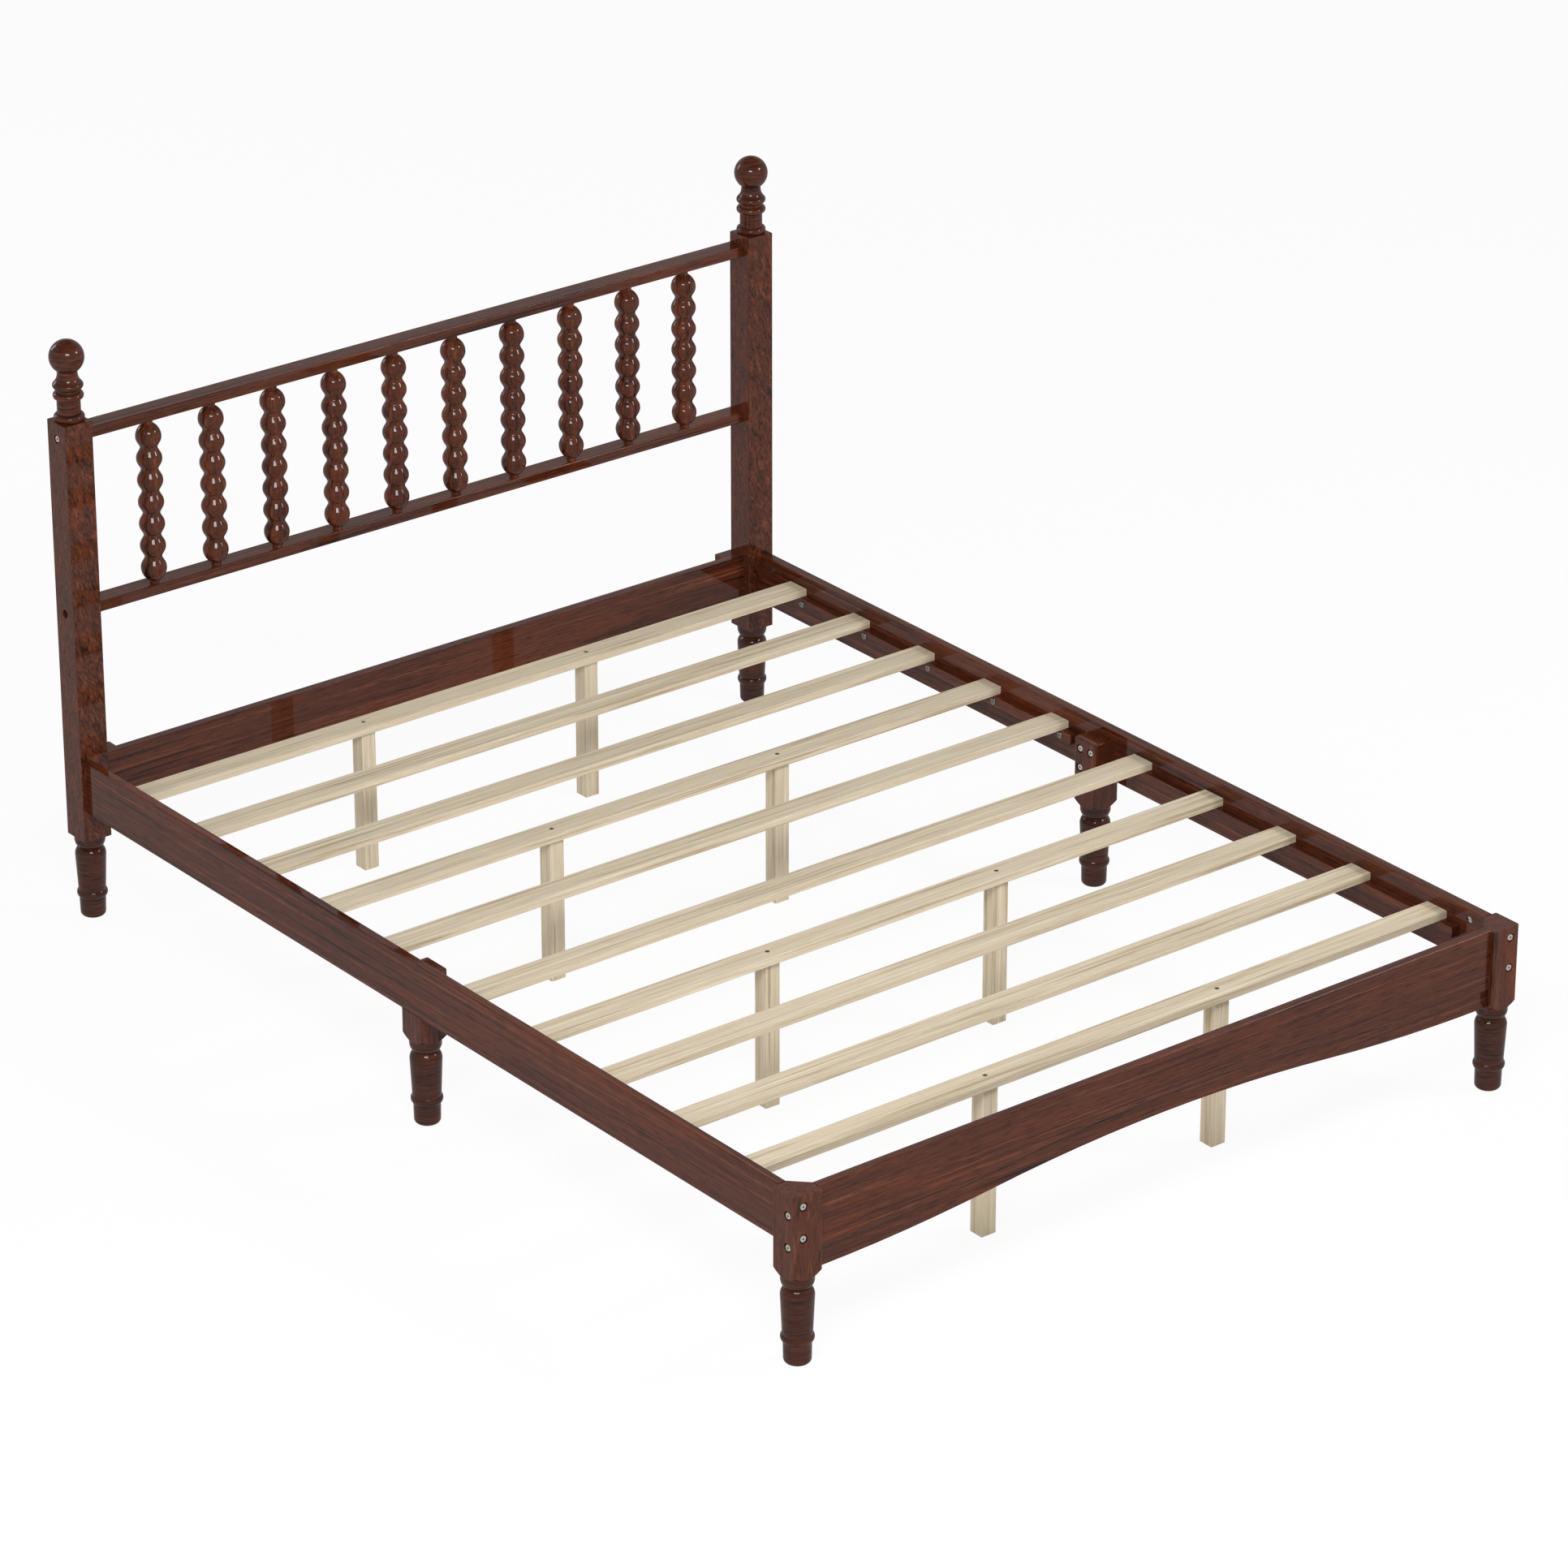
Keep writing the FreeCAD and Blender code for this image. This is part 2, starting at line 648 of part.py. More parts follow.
def arch_edges(rise_over):
    """The foot rail's lower edge, raised by rise_over: four arcs that start and end level."""
    ends = rail_top - foot_rail_depth + rise_over
    quarter = post_inner / 2
    eighth = quarter / 2
    half_rise = arch_rise / 2
    radius = (quarter ** 2 + half_rise ** 2) / (2 * half_rise)
    sag = radius - math.sqrt(radius ** 2 - eighth ** 2)
    y = foot_rail_front - overcut
    edges = []
    for side in (-1, 1):
        end = Vector(side * post_inner, y, ends)
        near_end = Vector(side * (quarter + eighth), y, ends + sag)
        bend = Vector(side * quarter, y, ends + half_rise)
        near_crown = Vector(side * eighth, y, ends + arch_rise - sag)
        crown = Vector(0, y, ends + arch_rise)
        edges.append(Part.Arc(end, near_end, bend).toShape())
        edges.append(Part.Arc(bend, near_crown, crown).toShape())
    return edges


def below_arch(rise_over, depth):
    """Everything under a line that follows the arch, from in front of the rail back by a depth."""
    edges = arch_edges(rise_over)
    y = foot_rail_front - overcut
    left_top = Vector(-post_inner, y, rail_top - foot_rail_depth + rise_over)
    right_top = Vector(post_inner, y, rail_top - foot_rail_depth + rise_over)
    left_floor = Vector(-post_inner, y, 0)
    right_floor = Vector(post_inner, y, 0)
    edges.append(Part.LineSegment(left_top, left_floor).toShape())
    edges.append(Part.LineSegment(left_floor, right_floor).toShape())
    edges.append(Part.LineSegment(right_floor, right_top).toShape())
    face = Part.Face(Part.Wire(Part.__sortEdges__(edges)))
    return face.extrude(Vector(0, depth + overcut, 0))


def foot_rail():
    """The arched board, with a stepped moulding that follows its lower edge."""
    board = box((-post_inner, foot_rail_front, rail_top - foot_rail_depth),
                (post_inner, foot_rail_back, rail_top))
    board = board.cut(below_arch(0.0, board_thickness + overcut))
    board = board.cut(below_arch(moulding_height, moulding_step))
    board = solid_of(board)
    board = board.makeFillet(moulding_rounding, [edge for edge in board.Edges if on_moulding(edge)])
    top = [edge for edge in straight_edges(board, ALONG_X) if abs(edge.CenterOfMass.z - rail_top) < near]
    board = board.makeFillet(rail_edge, top)
    holes = []
    for _, side in SIDES:
        for z in foot_rail_bolt_heights:
            holes += foot_rail_joint(side, z).rail_holes(board_thickness / 2)
    return solid_of(cut(board, holes))


def on_moulding(edge):
    """Whether an edge belongs to the curved line above the moulding's groove."""
    span = edge.BoundBox
    on_front = max(abs(span.YMin - foot_rail_front), abs(span.YMax - foot_rail_front)) < near
    return on_front and not isinstance(edge.Curve, Part.Line)


def foot_leg(side):
    leg = turned_block((side * post_inner, -half_length), (side * post_outer, -end_outer))
    leg = leg.cut(box((side * (post_inner - overcut), -half_length + overcut, leg_top),
                      (side * (post_outer + overcut), -end_outer - overcut, rail_top + 2 * overcut)))
    reach = post_size - rail_inset - board_thickness
    corner = Vector(side * post_inner, -half_length, rail_underside)
    triangle = Part.makePolygon([
        corner + Vector(-side * overcut, overcut, 0),
        corner + Vector(side * reach, overcut, 0),
        corner + Vector(-side * overcut, -reach, 0),
        corner + Vector(-side * overcut, overcut, 0),
    ])
    leg = leg.cut(Part.Face(triangle).extrude(UP * (side_rail_height + overcut)))
    holes = [side_rail_joint(side, -1, z).block_hole() for z in rail_bolt_heights]
    holes += [foot_rail_joint(side, z).block_hole() for z in foot_rail_bolt_heights]
    return solid_of(cut(leg, holes))


def mid_leg(side):
    """A turned leg whose block carries the rail halves and whose tongue is bolted inside them."""
    half = post_size / 2
    leg = turned_block((side * mid_leg_inner, -half), (side * rail_outer, half))
    leg = leg.cut(box((side * rail_inner, -half - overcut, rail_underside),
                      (side * (rail_outer + overcut), half + overcut, rail_top + overcut)))
    leg = leg.cut(box((side * (mid_leg_inner - overcut), -half - overcut, tongue_top),
                      (side * (rail_inner + overcut), half + overcut, rail_top + overcut)))
    leg = solid_of(leg)
    rim = [edge for edge in straight_edges(leg, ALONG_Y) if abs(edge.CenterOfMass.z - tongue_top) < near
           and abs(abs(edge.CenterOfMass.x) - mid_leg_inner) < near]
    leg = leg.makeFillet(mid_leg_tongue_edge, rim)
    holes = []
    for _, end in ENDS:
        for point in mid_bolt_points(side, end):
            seat = mid_bolt_seat(side, point)
            bore = bolt_bore(post_size, bolt_radius + bolt_room, counterbore_depth)
            holes.append(placed(bore, seat, (-side, 0, 0)))
    return solid_of(cut(leg, holes))


# ---- Slats and their support legs ----

def slat_centres():
    """The slats' centres along Y, from the head to the foot."""
    distances = [slat_margin + k * slat_pitch for k in range(slats_per_half)]
    return [d for d in reversed(distances)] + [-d for d in distances]


def support_points():
    """Slat's centre and X place of each support leg."""
    points = []
    for _, end in ENDS:
        for k in support_slats:
            for _, side in SIDES:
                points.append(Vector(side * support_x, end * (slat_margin + k * slat_pitch), slat_top))
    return points


def slat(y):
    board = timber((-slat_half_length, y - slat_width / 2, slat_underside),
                   (slat_half_length, y + slat_width / 2, slat_top), small_edge, ALONG_X)
    holes = [placed(countersunk_bore(slat_thickness + overcut), point) for point in support_points()
             if abs(point.y - y) < slat_width / 2]
    return solid_of(cut(board, holes)) if holes else board


def support_leg(point):
    half = support_size / 2
    leg = timber((point.x - half, point.y - half, 0), (point.x + half, point.y + half, slat_underside),
                 small_edge, UP)
    hole = cylinder(screw_radius, Vector(point.x, point.y, slat_underside), -UP, support_screw_reach)
    return solid_of(leg.cut(hole))


# ---- Groups of like fasteners ----

def all_joints():
    """Every connector joint, under the name of its group of bolts."""
    groups = {"headboard_bolts": [], "head_post_bolts": [], "foot_leg_bolts": []}
    for _, side in SIDES:
        groups["headboard_bolts"] += [headboard_joint(side, *seat) for seat in headboard_bolt_seats]
        groups["head_post_bolts"] += [side_rail_joint(side, 1, z) for z in rail_bolt_heights]
        groups["foot_leg_bolts"] += [side_rail_joint(side, -1, z) for z in rail_bolt_heights]
        groups["foot_leg_bolts"] += [foot_rail_joint(side, z) for z in foot_rail_bolt_heights]
    return groups


def mid_leg_bolts():
    bolts = []
    for _, side in SIDES:
        for _, end in ENDS:
            for point in mid_bolt_points(side, end):
                seat = mid_bolt_seat(side, point)
                bolts.append(placed(socket_bolt(mid_bolt_length()), seat, (-side, 0, 0)))
    return bolts


def ledger_screws():
    return [placed(pan_screw(board_thickness + ledger_screw_reach), point, (-side, 0, 0))
            for _, side in SIDES for _, end in ENDS for point in ledger_screw_points(side, end)]


def support_leg_screws():
    length = slat_thickness + support_screw_reach
    return [placed(countersunk_screw(length), point) for point in support_points()]


def cleat_screws():
    return [placed(countersunk_screw(cleat_width + cleat_screw_reach), point, (-side, 0, 0))
            for _, side in SIDES for point in cleat_screw_points(side)]


# ---- The bed ----

def build_bed():
    """Every node's name with its solids."""
    bed = {}
    for name, side in SIDES:
        bed["head_post_" + name] = [head_post(side)]
        bed["finial_" + name] = [finial(side)]
        bed["head_leg_" + name] = [head_leg(side)]
        bed["head_panel_cleat_" + name] = [head_panel_cleat(side)]
        bed["foot_leg_" + name] = [foot_leg(side)]
        bed["mid_leg_" + name] = [mid_leg(side)]
        for end_name, end in ENDS:
            bed["side_rail_" + name + "_" + end_name] = [side_rail(side, end)]
            bed["ledger_" + name + "_" + end_name] = [ledger(side, end)]
    top_bolts, bottom_bolts = headboard_bolt_seats
    bed["headboard_top_rail"] = [headboard_rail(top_rail_underside, top_bolts, top_rail_underside, UP)]
    bed["headboard_bottom_rail"] = [headboard_rail(bottom_rail_underside, bottom_bolts, bottom_rail_top, -UP)]
    bed["head_panel"] = [head_panel()]
    bed["foot_rail"] = [foot_rail()]
    for index in range(spindle_count):
        bed["spindle_%d" % (index + 1)] = [spindle(index)]
    for index, y in enumerate(slat_centres()):
        bed["slat_%d" % (index + 1)] = [slat(y)]
    for index, point in enumerate(support_points()):
        bed["support_leg_%d" % (index + 1)] = [support_leg(point)]
    nuts = []
    for group, joints in all_joints().items():
        bed[group] = [joint.bolt() for joint in joints]
        nuts += [joint.nut() for joint in joints]
    bed["barrel_nuts"] = nuts
    bed["mid_leg_bolts"] = mid_leg_bolts()
    bed["ledger_screws"] = ledger_screws()
    bed["support_leg_screws"] = support_leg_screws()
    bed["cleat_screws"] = cleat_screws()
    return bed


os.makedirs("parts", exist_ok=True)
for node, solids in build_bed().items():
    shape = solids[0] if len(solids) == 1 else Part.makeCompound(solids)
    shape.exportStep("parts/" + node + ".step")
    print(node, len(solids), "volume %.1f cm3" % (shape.Volume / 1000), "valid", shape.isValid())
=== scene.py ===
"""A spindle bed: stained and lacquered hardwood turnings and boards, with bare pine slats.

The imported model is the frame. The turned pieces are spun again with a finer surface, and every
other piece is a cleaned and smoothed copy of its solid.
"""

import math

import bmesh
import bpy
from bpy.props import FloatProperty, FloatVectorProperty, IntProperty, PointerProperty
from mathutils import Matrix, Vector


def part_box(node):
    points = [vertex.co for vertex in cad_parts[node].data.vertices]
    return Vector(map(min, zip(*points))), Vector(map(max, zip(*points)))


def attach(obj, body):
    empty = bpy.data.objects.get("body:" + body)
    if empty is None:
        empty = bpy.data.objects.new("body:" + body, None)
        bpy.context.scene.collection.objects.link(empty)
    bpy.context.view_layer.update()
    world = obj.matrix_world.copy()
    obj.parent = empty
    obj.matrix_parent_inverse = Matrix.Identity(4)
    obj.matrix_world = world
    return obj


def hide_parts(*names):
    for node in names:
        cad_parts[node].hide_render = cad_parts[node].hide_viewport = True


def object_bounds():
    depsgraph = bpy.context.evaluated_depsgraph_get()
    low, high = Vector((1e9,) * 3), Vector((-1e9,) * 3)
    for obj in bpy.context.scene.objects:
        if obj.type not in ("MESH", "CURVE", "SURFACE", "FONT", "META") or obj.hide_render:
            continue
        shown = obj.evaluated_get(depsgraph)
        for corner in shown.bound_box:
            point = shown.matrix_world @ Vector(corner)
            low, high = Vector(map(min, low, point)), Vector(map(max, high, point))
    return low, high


bl_info = {
    "name": "Spindle Bed",
    "version": (1, 0, 0),
    "blender": (4, 5, 0),
    "location": "3D View > Sidebar > Spindle Bed",
    "description": "Builds a spindle bed in stained hardwood with pine slats, and its studio",
    "category": "Add Mesh",
}

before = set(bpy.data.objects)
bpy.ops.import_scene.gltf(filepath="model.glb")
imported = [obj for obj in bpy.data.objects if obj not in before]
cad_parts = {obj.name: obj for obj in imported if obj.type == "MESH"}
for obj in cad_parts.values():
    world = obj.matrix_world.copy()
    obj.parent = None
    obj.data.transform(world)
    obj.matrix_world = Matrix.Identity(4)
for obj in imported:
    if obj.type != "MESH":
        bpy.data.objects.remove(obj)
cad_low, cad_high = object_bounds()

MM = 0.001
SIDES = ("left", "right")
ENDS = ("head", "foot")

# Shares of dark stain mixed into turnings: darker end grain on the finials, painted shade on the low
# legs.
FINIAL_DARKENING = 0.3
# The legs' share is painted shade: their turnings are drawn darker for the dim light near the floor.
LEG_PAINTED_SHADE = 0.5

SHARP_ANGLE = 32.0      # degrees between faces, from which an edge is shown sharp
ARC_STEP = 9.0          # degrees of a turned outline's arc that one face spans
FLAT_ANGLE = 0.05       # degrees between faces that are joined as one flat face
SOLID_MERGE = 0.002 * MM
TURNED_MERGE = 0.02 * MM


def linear(hex_colour):
    """An sRGB hex colour as linear red, green, blue and alpha."""
    channels = [int(hex_colour[k:k + 2], 16) / 255 for k in (1, 3, 5)]
    return tuple(c / 12.92 if c <= 0.04045 else ((c + 0.055) / 1.055) ** 2.4 for c in channels) + (1.0,)


def colour_property(name, description, hex_colour):
    return FloatVectorProperty(name=name, description=description, subtype="COLOR", size=4,
                               min=0.0, max=1.0, default=linear(hex_colour))


def length_property(name, description, millimetres):
    return FloatProperty(name=name, description=description, unit="LENGTH", default=millimetres * MM)


# ---- Properties ----

class BedSizes(bpy.types.PropertyGroup):
    """Sizes of the turned pieces."""

    turned_leg_height: length_property("Turned Leg Height", "From the floor to the square block", 163.0)
    leg_ring_radius: length_property("Leg Ring Radius", "Largest radius of a turned leg", 28.7)
    leg_neck_radius: length_property("Leg Neck Radius", "Between the ring and the shaft", 22.0)
    leg_shaft_radius: length_property("Leg Shaft Radius", "Shaft's radius above its bead", 25.6)
    leg_foot_radius: length_property("Leg Foot Radius", "Foot's radius at the floor", 23.6)
    finial_bead_radius: length_property("Finial Bead Radius", "Crest of each bead", 28.0)
    finial_column_radius: length_property("Finial Column Radius", "Between the lower two beads", 21.5)
    finial_neck_radius: length_property("Finial Neck Radius", "Under the ball", 18.6)
    finial_ball_radius: length_property("Finial Ball Radius", "Radius of the ball", 32.2)
    bobbin_crest_radius: length_property("Bobbin Crest Radius", "Largest radius of a spindle", 23.9)
    bobbin_valley_radius: length_property("Bobbin Valley Radius", "Between two bobbins", 16.3)
    spindle_neck_radius: length_property("Spindle Neck Radius", "At each end of a spindle", 9.0)
    bobbin_count: IntProperty(name="Bobbins", description="Bobbins on each spindle", default=7, min=2)
    turning_steps: IntProperty(name="Turning Steps", description="Faces around a turned piece",
                               default=72, min=16)


class BedColours(bpy.types.PropertyGroup):
    """Colours of the wood, the metal and the studio."""

    stain_dark: colour_property("Dark Stain", "Late wood and pores under the stain", "#1f0e09")
    stain_mid: colour_property("Middle Stain", "Most of the stained wood", "#4d2617")
    stain_light: colour_property("Light Stain", "Early wood under the stain", "#6a3a26")
    stain_red: colour_property("Red Stain", "Reddish patches of figure", "#6c3117")
    pine_light: colour_property("Light Pine", "Early wood of the pine", "#ded2ba")
    pine_mid: colour_property("Middle Pine", "Most of the pine", "#cfc1a8")
    pine_dark: colour_property("Dark Pine", "Late wood of the pine", "#a8977a")
    zinc: colour_property("Zinc", "Bright zinc plating on the bolts", "#b2b2ac")
    # The screws' zinc is drawn darker as painted shade of the recesses that they sit in.
    recess_shaded_zinc: colour_property("Dull Zinc", "Duller zinc plating on the screws", "#6c6c6a")
    floor: colour_property("Floor", "Studio floor", "#f4f4f4")
    world: colour_property("World", "Soft light from all round", "#ffffff")


# ---- Node trees ----

def add_node(tree, kind, settings=None, inputs=None, stops=()):
    """One node with its settings, its inputs as values or links, and a colour ramp's stops."""
    node = tree.nodes.new(kind)
    for name, value in (settings or {}).items():
        setattr(node, name, value)
    for key, value in (inputs or {}).items():
        if isinstance(value, bpy.types.NodeSocket):
            tree.links.new(value, node.inputs[key])
        else:
            node.inputs[key].default_value = value
    if stops:
        elements = node.color_ramp.elements
        while len(elements) < len(stops):
            elements.new(0.5)
        for element, (position, colour) in zip(elements, stops):
            element.position = position
            element.color = colour
    return node


def grain_field(tree, cell, detail, roughness=0.5, distortion=0.0, shift=(0.0, 0.0, 0.0), lean=0.0):
    """Noise from 0 to 1. Its cells have sizes in millimetres, and lean towards -X by some degrees."""
    place = add_node(tree, "ShaderNodeTexCoord")
    upright = add_node(tree, "ShaderNodeVectorRotate", {"rotation_type": "Y_AXIS"},
                       {"Vector": place.outputs["Object"], "Angle": math.radians(lean)})
    mapped = add_node(tree, "ShaderNodeMapping", inputs={
        "Vector": upright.outputs["Vector"],
        "Location": shift,
        "Scale": [1000.0 / size for size in cell],
    })
    noise = add_node(tree, "ShaderNodeTexNoise", {"noise_dimensions": "3D"}, {
        "Vector": mapped.outputs["Vector"],
        "Scale": 1.0,
        "Detail": detail,
        "Roughness": roughness,
        "Distortion": distortion,
    })
    return noise.outputs["Fac"]


def finish_shader(material, tree, shader):
    output = add_node(tree, "ShaderNodeOutputMaterial", inputs={"Surface": shader})
    tree.nodes.active = output
    return material


def new_tree(name):
    material = bpy.data.materials.new(name)
    material.use_nodes = True
    material.node_tree.nodes.clear()
    return material, material.node_tree


def mixed(tree, factor, first, second):
    node = add_node(tree, "ShaderNodeMix", {"data_type": "RGBA"}, {0: factor, 6: first, 7: second})
    return node.outputs[2]


def stain_colour(tree, colours, streaks, patches, pores, spread=1.0, pore_depth=0.55):
    """Stained wood's colour from three fields: streaks of late wood, reddish patches, and pores.

    A narrower spread makes the streaks stand out more.
    """
    wood = add_node(tree, "ShaderNodeValToRGB", inputs={"Fac": streaks}, stops=(
        (0.5 - 0.13 * spread, colours.stain_dark), (0.5 - 0.04 * spread, colours.stain_mid),
        (0.5 + 0.04 * spread, colours.stain_mid), (0.5 + 0.14 * spread, colours.stain_light)))
    patch = add_node(tree, "ShaderNodeMapRange", {"interpolation_type": "SMOOTHSTEP"}, {
        "Value": patches, "From Min": 0.50, "From Max": 0.72, "To Min": 0.0, "To Max": 0.5})
    reddened = mixed(tree, patch.outputs["Result"], wood.outputs["Color"], colours.stain_red)
    pore = add_node(tree, "ShaderNodeMapRange", {"interpolation_type": "SMOOTHSTEP"}, {
        "Value": pores, "From Min": 0.36, "From Max": 0.50, "To Min": pore_depth, "To Max": 0.0})
    return mixed(tree, pore.outputs["Result"], reddened, colours.stain_dark)


def lacquer(tree, colour):
    """A full-gloss clear lacquer over stained wood: only the lacquer reflects, and it mirrors."""
    return add_node(tree, "ShaderNodeBsdfPrincipled", inputs={
        "Base Color": colour,
        "Roughness": 0.5,
        "Specular IOR Level": 0.0,
        "Coat Weight": 0.42,
        "Coat Roughness": 0.03,
        "Coat IOR": 1.5,
    }).outputs["BSDF"]


def axis_cell(along, length, width, depth):
    """A cell that is long on one axis, and width and depth across it."""
    across = iter((width, depth))
    return tuple(length if axis == along else next(across) for axis in "XYZ")


def stained_board(name, colours, along):
    """Sawn and planed boards: the grain runs straight along the board."""
    material, tree = new_tree(name)
    streaks = grain_field(tree, axis_cell(along, 520, 7, 7), 5, 0.72, 0.3)
    patches = grain_field(tree, axis_cell(along, 600, 60, 60), 3, 0.5, 0.4, (3.0, 1.0, 2.0))
    # Real pores are 0.2 mm wide, drawn 1.8 mm wide so that they show.
    pores = grain_field(tree, axis_cell(along, 40, 1.8, 1.8), 3, 0.6, 0.0, (7.0, 5.0, 1.0))
    wood = stain_colour(tree, colours, streaks, patches, pores, spread=1.05, pore_depth=0.7)
    return finish_shader(material, tree, lacquer(tree, wood))


def stained_post(name, colours):
    """Square posts: fine upright lines on the sides, and leaning, mottled figure on front and back."""
    material, tree = new_tree(name)
    streaks = grain_field(tree, (11, 4, 30), 5, 0.7, 1.2, lean=18.0)
    patches = grain_field(tree, (30, 70, 60), 3, 0.6, 1.0, (4.0, 2.0, 6.0))
    pores = grain_field(tree, (3.2, 1.4, 11), 3, 0.6, 0.3, (1.0, 8.0, 3.0), lean=22.0)
    wood = stain_colour(tree, colours, streaks, patches, pores, spread=0.95, pore_depth=0.75)
    return finish_shader(material, tree, lacquer(tree, wood))


def block_colour(tree, colours):
    """Leg blocks: plain sawn wood whose upright lines wander."""
    streaks = grain_field(tree, (10, 8, 95), 4, 0.6, 1.3, (6.0, 4.0, 5.0))
    patches = grain_field(tree, (60, 60, 160), 3, 0.5, 0.5, (4.0, 2.0, 6.0))
    pores = grain_field(tree, (1.6, 1.6, 16), 3, 0.6, 0.3, (1.0, 8.0, 3.0))
    return stain_colour(tree, colours, streaks, patches, pores, spread=1.4)


def turned_colour(tree, colours, darkening):
    """Turnings: the grain shows as fine level rings."""
    streaks = grain_field(tree, (60, 60, 4), 5, 0.66, 0.5)
    patches = grain_field(tree, (50, 50, 22), 3, 0.5, 0.5, (2.0, 6.0, 1.0))
    pores = grain_field(tree, (18, 18, 1.2), 3, 0.6, 0.2, (5.0, 3.0, 9.0))
    wood = stain_colour(tree, colours, streaks, patches, pores)
    # Mixed towards the dark stain by the given share; on the legs that share is painted shade.
    return mixed(tree, darkening, wood, colours.stain_dark)


def stained_turning(name, colours, darkening):
    """Lacquered turnings: dark level rings, under a coat that mirrors the lamps as bright marks."""
    material, tree = new_tree(name)
    return finish_shader(material, tree, lacquer(tree, turned_colour(tree, colours, darkening)))


def stained_leg(name, colours, turned_height):
    """Legs cut from one square timber: upright grain on the block, and dark rings on the turning."""
    material, tree = new_tree(name)
    place = add_node(tree, "ShaderNodeTexCoord")
    height = add_node(tree, "ShaderNodeSeparateXYZ", inputs={0: place.outputs["Object"]})
    on_block = add_node(tree, "ShaderNodeMath", {"operation": "GREATER_THAN"},
                        {0: height.outputs["Z"], 1: turned_height})
    # The turned part is drawn darker as painted shade, for the dim light near the floor.
    colour = mixed(tree, on_block.outputs[0], turned_colour(tree, colours, LEG_PAINTED_SHADE),
                   block_colour(tree, colours))
    return finish_shader(material, tree, lacquer(tree, colour))


def stained_spindle(name, colours):
    """Spindles: upright grain that the bobbins cut into nested curves."""
    material, tree = new_tree(name)
    streaks = grain_field(tree, (9, 9, 260), 4, 0.62, 0.6)
    patches = grain_field(tree, (30, 30, 160), 3, 0.5, 0.5, (2.0, 2.0, 1.0))
    pores = grain_field(tree, (1.4, 1.4, 24), 3, 0.6, 0.0, (6.0, 4.0, 2.0))
    wood = stain_colour(tree, colours, streaks, patches, pores, spread=1.15, pore_depth=0.45)
    return finish_shader(material, tree, lacquer(tree, wood))


def planed_pine(name, colours, along):
    """Bare planed pine: matt, with pale early wood and thin darker lines of late wood."""
    material, tree = new_tree(name)
    bands = grain_field(tree, axis_cell(along, 460, 7, 7), 5, 0.66, 0.5)
    wood = add_node(tree, "ShaderNodeValToRGB", inputs={"Fac": bands}, stops=(
        (0.36, colours.pine_dark), (0.47, colours.pine_mid), (0.54, colours.pine_mid),
        (0.64, colours.pine_light)))
    # Real fibres are far below a millimetre, drawn 1.2 mm wide so that they show.
    fibres = grain_field(tree, axis_cell(along, 60, 1.2, 1.2), 3, 0.6, 0.0, (4.0, 4.0, 1.0))
    fibre = add_node(tree, "ShaderNodeMapRange", inputs={
        "Value": fibres, "From Min": 0.35, "From Max": 0.6, "To Min": 0.35, "To Max": 0.0})
    colour = mixed(tree, fibre.outputs["Result"], wood.outputs["Color"], colours.pine_dark)
    bump = add_node(tree, "ShaderNodeBump", inputs={
        "Strength": 0.15, "Distance": 0.3 * MM, "Height": fibres})
    shader = add_node(tree, "ShaderNodeBsdfPrincipled", inputs={
        "Base Color": colour,
        "Roughness": 0.6,
        "Specular IOR Level": 0.3,
        "Normal": bump.outputs["Normal"],
    })
    return finish_shader(material, tree, shader.outputs["BSDF"])


def plated_steel(name, colours, plating):
    """Zinc plating, bright on bolts and drawn darker on screws as painted shade of their recesses: a
    metal that reflects with a slight blur.
    """
    material, tree = new_tree(name)
    cloud = grain_field(tree, (3, 3, 3), 2)
    blur = add_node(tree, "ShaderNodeMapRange", inputs={"Value": cloud, "To Min": 0.22, "To Max": 0.36})
    shader = add_node(tree, "ShaderNodeBsdfPrincipled", inputs={
        "Base Color": getattr(colours, plating),
        "Metallic": 1.0,
        "Roughness": blur.outputs["Result"],
    })
    return finish_shader(material, tree, shader.outputs["BSDF"])


def material_for(name, make, *arguments):
    """The material of that name, made the first time that it is asked for."""
    return bpy.data.materials.get(name) or make(name, bpy.context.scene.bed_colours, *arguments)


def board_material(along):
    return material_for("stained_board_along_" + along.lower(), stained_board, along)


# ---- Meshes ----

def add_piece(name, mesh, material, nodes):
    """Links a finished mesh as a piece of the bed, in place of the frame's nodes."""
    mesh.materials.clear()
    mesh.materials.append(material)
    mesh.shade_smooth()
    mesh.set_sharp_from_angle(angle=math.radians(SHARP_ANGLE))
    piece = bpy.data.objects.new(name, mesh)
    bpy.context.scene.collection.objects.link(piece)
    weighted = piece.modifiers.new("weighted_normal", "WEIGHTED_NORMAL")
    weighted.keep_sharp = True
    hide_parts(*nodes)
    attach(piece, "root")


def cleaned_copy(node, material):
    """A piece from a node's solid: its loose triangles are merged and its flat faces joined."""
    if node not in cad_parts:
        raise RuntimeError("the frame has no node named " + node)
    bm = bmesh.new()
    bm.from_mesh(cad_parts[node].data)
    bmesh.ops.remove_doubles(bm, verts=bm.verts, dist=SOLID_MERGE)
    bmesh.ops.dissolve_limit(bm, angle_limit=math.radians(FLAT_ANGLE), verts=bm.verts, edges=bm.edges)
    mesh = bpy.data.meshes.new("shown_" + node)
    bm.to_mesh(mesh)
    bm.free()
    add_piece("shown_" + node, mesh, material, [node])


def arc_steps(turn):
    return max(2, round(abs(turn) / ARC_STEP))


